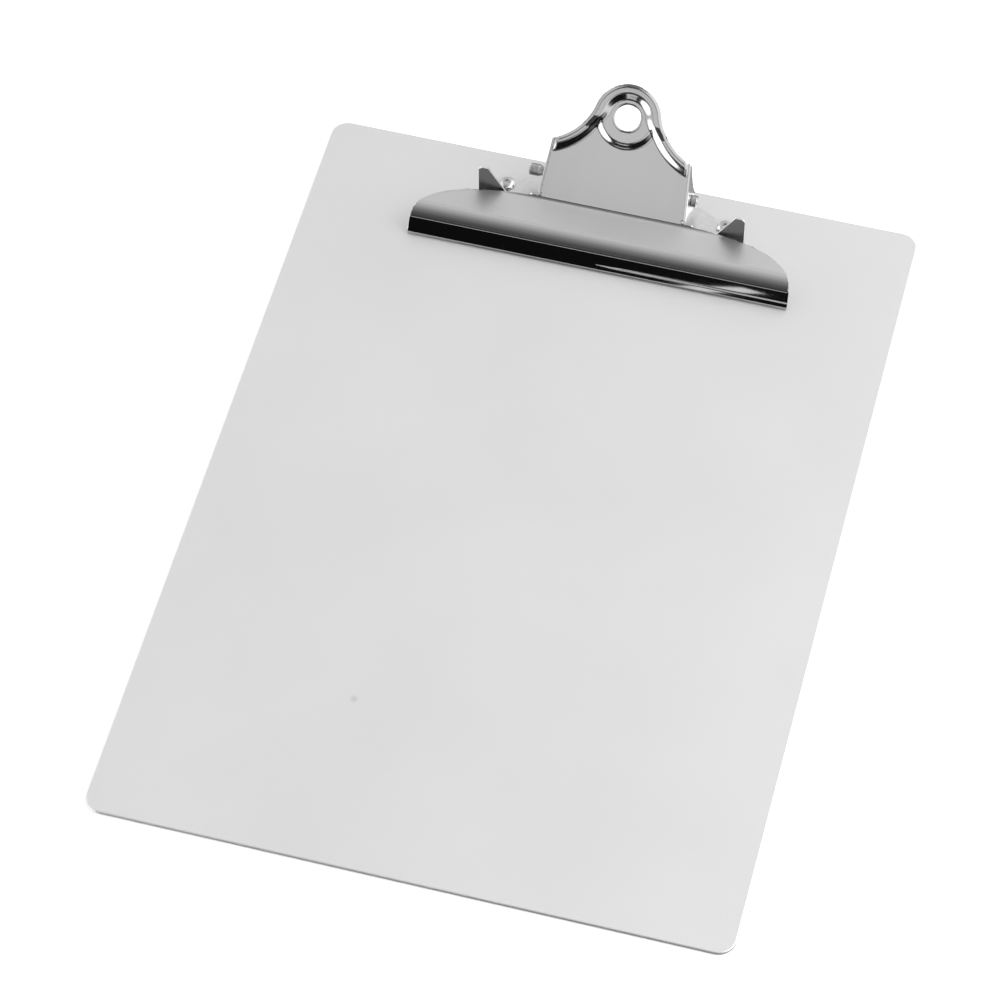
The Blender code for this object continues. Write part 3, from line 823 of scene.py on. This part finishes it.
# Brightness below the tent's foot as (x of the direction, grey), and the angles of that foot
HORIZON = [(-1.0, 1.8), (-0.36, 1.8), (-0.345, 0.005), (0.26, 0.005), (0.34, 0.28), (1.0, 0.3)]
TENT_FOOT = (27, 25)

# The corridor's middle and soft edges in x, low down and past the angles where it widens
CORRIDOR_MIDDLE = -0.145
CORRIDOR_EDGE = (0.08, 0.12)
CORRIDOR_WIDENS = (58, 72)
CORRIDOR_WIDE_EDGE = (0.22, 0.36)

# The studio is brighter to the right, up to a limit
LIGHT_RISE = 0.7
LIGHT_MIDDLE = 1.27
LIGHT_MOST = 1.45


def stepped(nodes, links, value, start, stop):
    made = node(nodes, "ShaderNodeMapRange", From_Min=start, From_Max=stop, To_Min=0.0,
                To_Max=1.0)
    made.interpolation_type = "SMOOTHSTEP"
    links.new(value, made.inputs["Value"])
    return made.outputs["Result"]


def graded(nodes, links, value, low, high, stops):
    """Greys along a value, from (value, grey) stops between two ends."""
    share = ranged(nodes, links, value, 0, 1, low, high)
    made = ramp(nodes, [((place - low) / (high - low), grey) for place, grey in stops])
    links.new(share, made.inputs["Fac"])
    return made.outputs["Color"]


def make_world():
    """A studio tent with a dark corridor in it and a black and white horizon in front.

    The corridor is what the clip's wing, nose and lip mirror.
    """
    world = bpy.data.worlds.new("studio")
    bpy.context.scene.world = world
    world.use_nodes = True
    nodes, links = world.node_tree.nodes, world.node_tree.links
    nodes.clear()
    place = nodes.new("ShaderNodeTexCoord")
    split = nodes.new("ShaderNodeSeparateXYZ")
    links.new(place.outputs["Generated"], split.inputs["Vector"])
    sideways = split.outputs["X"]
    ahead = maths(nodes, links, "MULTIPLY", split.outputs["Y"], -1)
    radians = maths(nodes, links, "ARCTAN2", split.outputs["Z"], ahead)
    angle = maths(nodes, links, "DEGREES", radians)
    span = (LOWEST_ANGLE, HIGHEST_ANGLE)
    tent = mixed(nodes, links, stepped(nodes, links, angle, *TENT_FOOT),
                 graded(nodes, links, angle, *span, TENT),
                 graded(nodes, links, sideways, -1, 1, HORIZON))
    off_axis = maths(nodes, links, "SUBTRACT", sideways, CORRIDOR_MIDDLE)
    off_axis = maths(nodes, links, "ABSOLUTE", off_axis)
    beside = mixed(nodes, links, stepped(nodes, links, angle, *CORRIDOR_WIDENS),
                   stepped(nodes, links, off_axis, *CORRIDOR_EDGE),
                   stepped(nodes, links, off_axis, *CORRIDOR_WIDE_EDGE))
    corridor = graded(nodes, links, angle, *span, CORRIDOR)
    lit = nodes.new("ShaderNodeBackground")
    links.new(mixed(nodes, links, beside, corridor, tent), lit.inputs["Color"])
    strength = maths(nodes, links, "MULTIPLY_ADD", sideways, LIGHT_RISE, LIGHT_MIDDLE)
    links.new(maths(nodes, links, "MINIMUM", strength, LIGHT_MOST), lit.inputs["Strength"])
    plain = nodes.new("ShaderNodeBackground")
    plain.inputs["Color"].default_value = (1, 1, 1, 1)
    seen = nodes.new("ShaderNodeLightPath")
    choose = nodes.new("ShaderNodeMixShader")
    links.new(seen.outputs["Is Camera Ray"], choose.inputs["Fac"])
    links.new(lit.outputs[0], choose.inputs[1])
    links.new(plain.outputs[0], choose.inputs[2])
    output = nodes.new("ShaderNodeOutputWorld")
    links.new(choose.outputs[0], output.inputs["Surface"])


CAMERA_LENS = 148.08
CAMERA_PLACE = (0.2081, -0.8195, 1.2146)
CAMERA_TURN = (34.996, 0.059, 14.664)


def make_camera():
    data = bpy.data.cameras.new("camera")
    data.lens = CAMERA_LENS
    data.sensor_width = 36.0
    data.clip_start = 0.01
    data.clip_end = 50
    camera = bpy.data.objects.new("camera", data)
    bpy.context.scene.collection.objects.link(camera)
    camera.location = CAMERA_PLACE
    camera.rotation_euler = [math.radians(turn) for turn in CAMERA_TURN]
    bpy.context.scene.camera = camera


def area_light(name, aim, direction, distance, size, power, lean=0.0):
    """A flat light that faces a spot from a direction, turned about its own axis by lean."""
    data = bpy.data.lights.new(name, "AREA")
    data.shape = "RECTANGLE"
    data.size, data.size_y = size
    data.energy = power
    light = bpy.data.objects.new(name, data)
    bpy.context.scene.collection.objects.link(light)
    away = Vector(direction).normalized()
    light.location = aim + away * distance
    light.rotation_mode = "QUATERNION"
    light.rotation_quaternion = away.to_track_quat("Z", "Y") @ Quaternion((0, 0, 1), lean)
    light.visible_camera = False


def power_for(radiance, size):
    """Power that makes a flat light look a given brightness."""
    return radiance * math.pi * size[0] * size[1]


def mirror_direction(spot, normal):
    """The direction that the camera sees mirrored in a spot with this normal."""
    look = (spot - Vector(CAMERA_PLACE)).normalized()
    return look - 2 * look.dot(normal) * normal


# Softbox mirrored in the neck
SOFTBOX_SIZE = (0.34, 0.24)
SOFTBOX_RADIANCE = 0.65
SOFTBOX_UP = 22
BOX_DISTANCE = 3.0

# Strip mirrored along the lip
STRIP_SIZE = (0.030, 0.4)
STRIP_RADIANCE = 0.72
STRIP_AIM = at(45, 45, 4)
STRIP_DIRECTION = (-0.129, -0.99, 0.036)
STRIP_LEAN = math.radians(-34)

# Large soft lights to either side: name, direction and power in watts
KEY_LIGHTS = [("key_left", (-0.75, 0.15, 0.65), 4), ("key_right", (0.75, 0.15, 0.65), 21)]
KEY_SIZE = (1.6, 1.6)
KEY_DISTANCE = 2.2


def make_lights():
    neck = at(0, NOTCH_TOP + SOFTBOX_UP * UP[0], NOTCH_Z + SOFTBOX_UP * UP[1])
    neck_view = mirror_direction(neck, Vector((0, -OUT[0], OUT[1])))
    area_light("neck_softbox", neck, neck_view, BOX_DISTANCE, SOFTBOX_SIZE,
               power_for(SOFTBOX_RADIANCE, SOFTBOX_SIZE))
    area_light("lip_strip", STRIP_AIM, STRIP_DIRECTION, BOX_DISTANCE, STRIP_SIZE,
               power_for(STRIP_RADIANCE, STRIP_SIZE), STRIP_LEAN)
    for name, direction, power in KEY_LIGHTS:
        area_light(name, Vector((0, 0, 0)), direction, KEY_DISTANCE, KEY_SIZE, power)


make_floor()
make_world()
make_camera()
make_lights()

bpy.context.scene.view_settings.view_transform = "Standard"
bpy.context.scene.view_settings.look = "None"
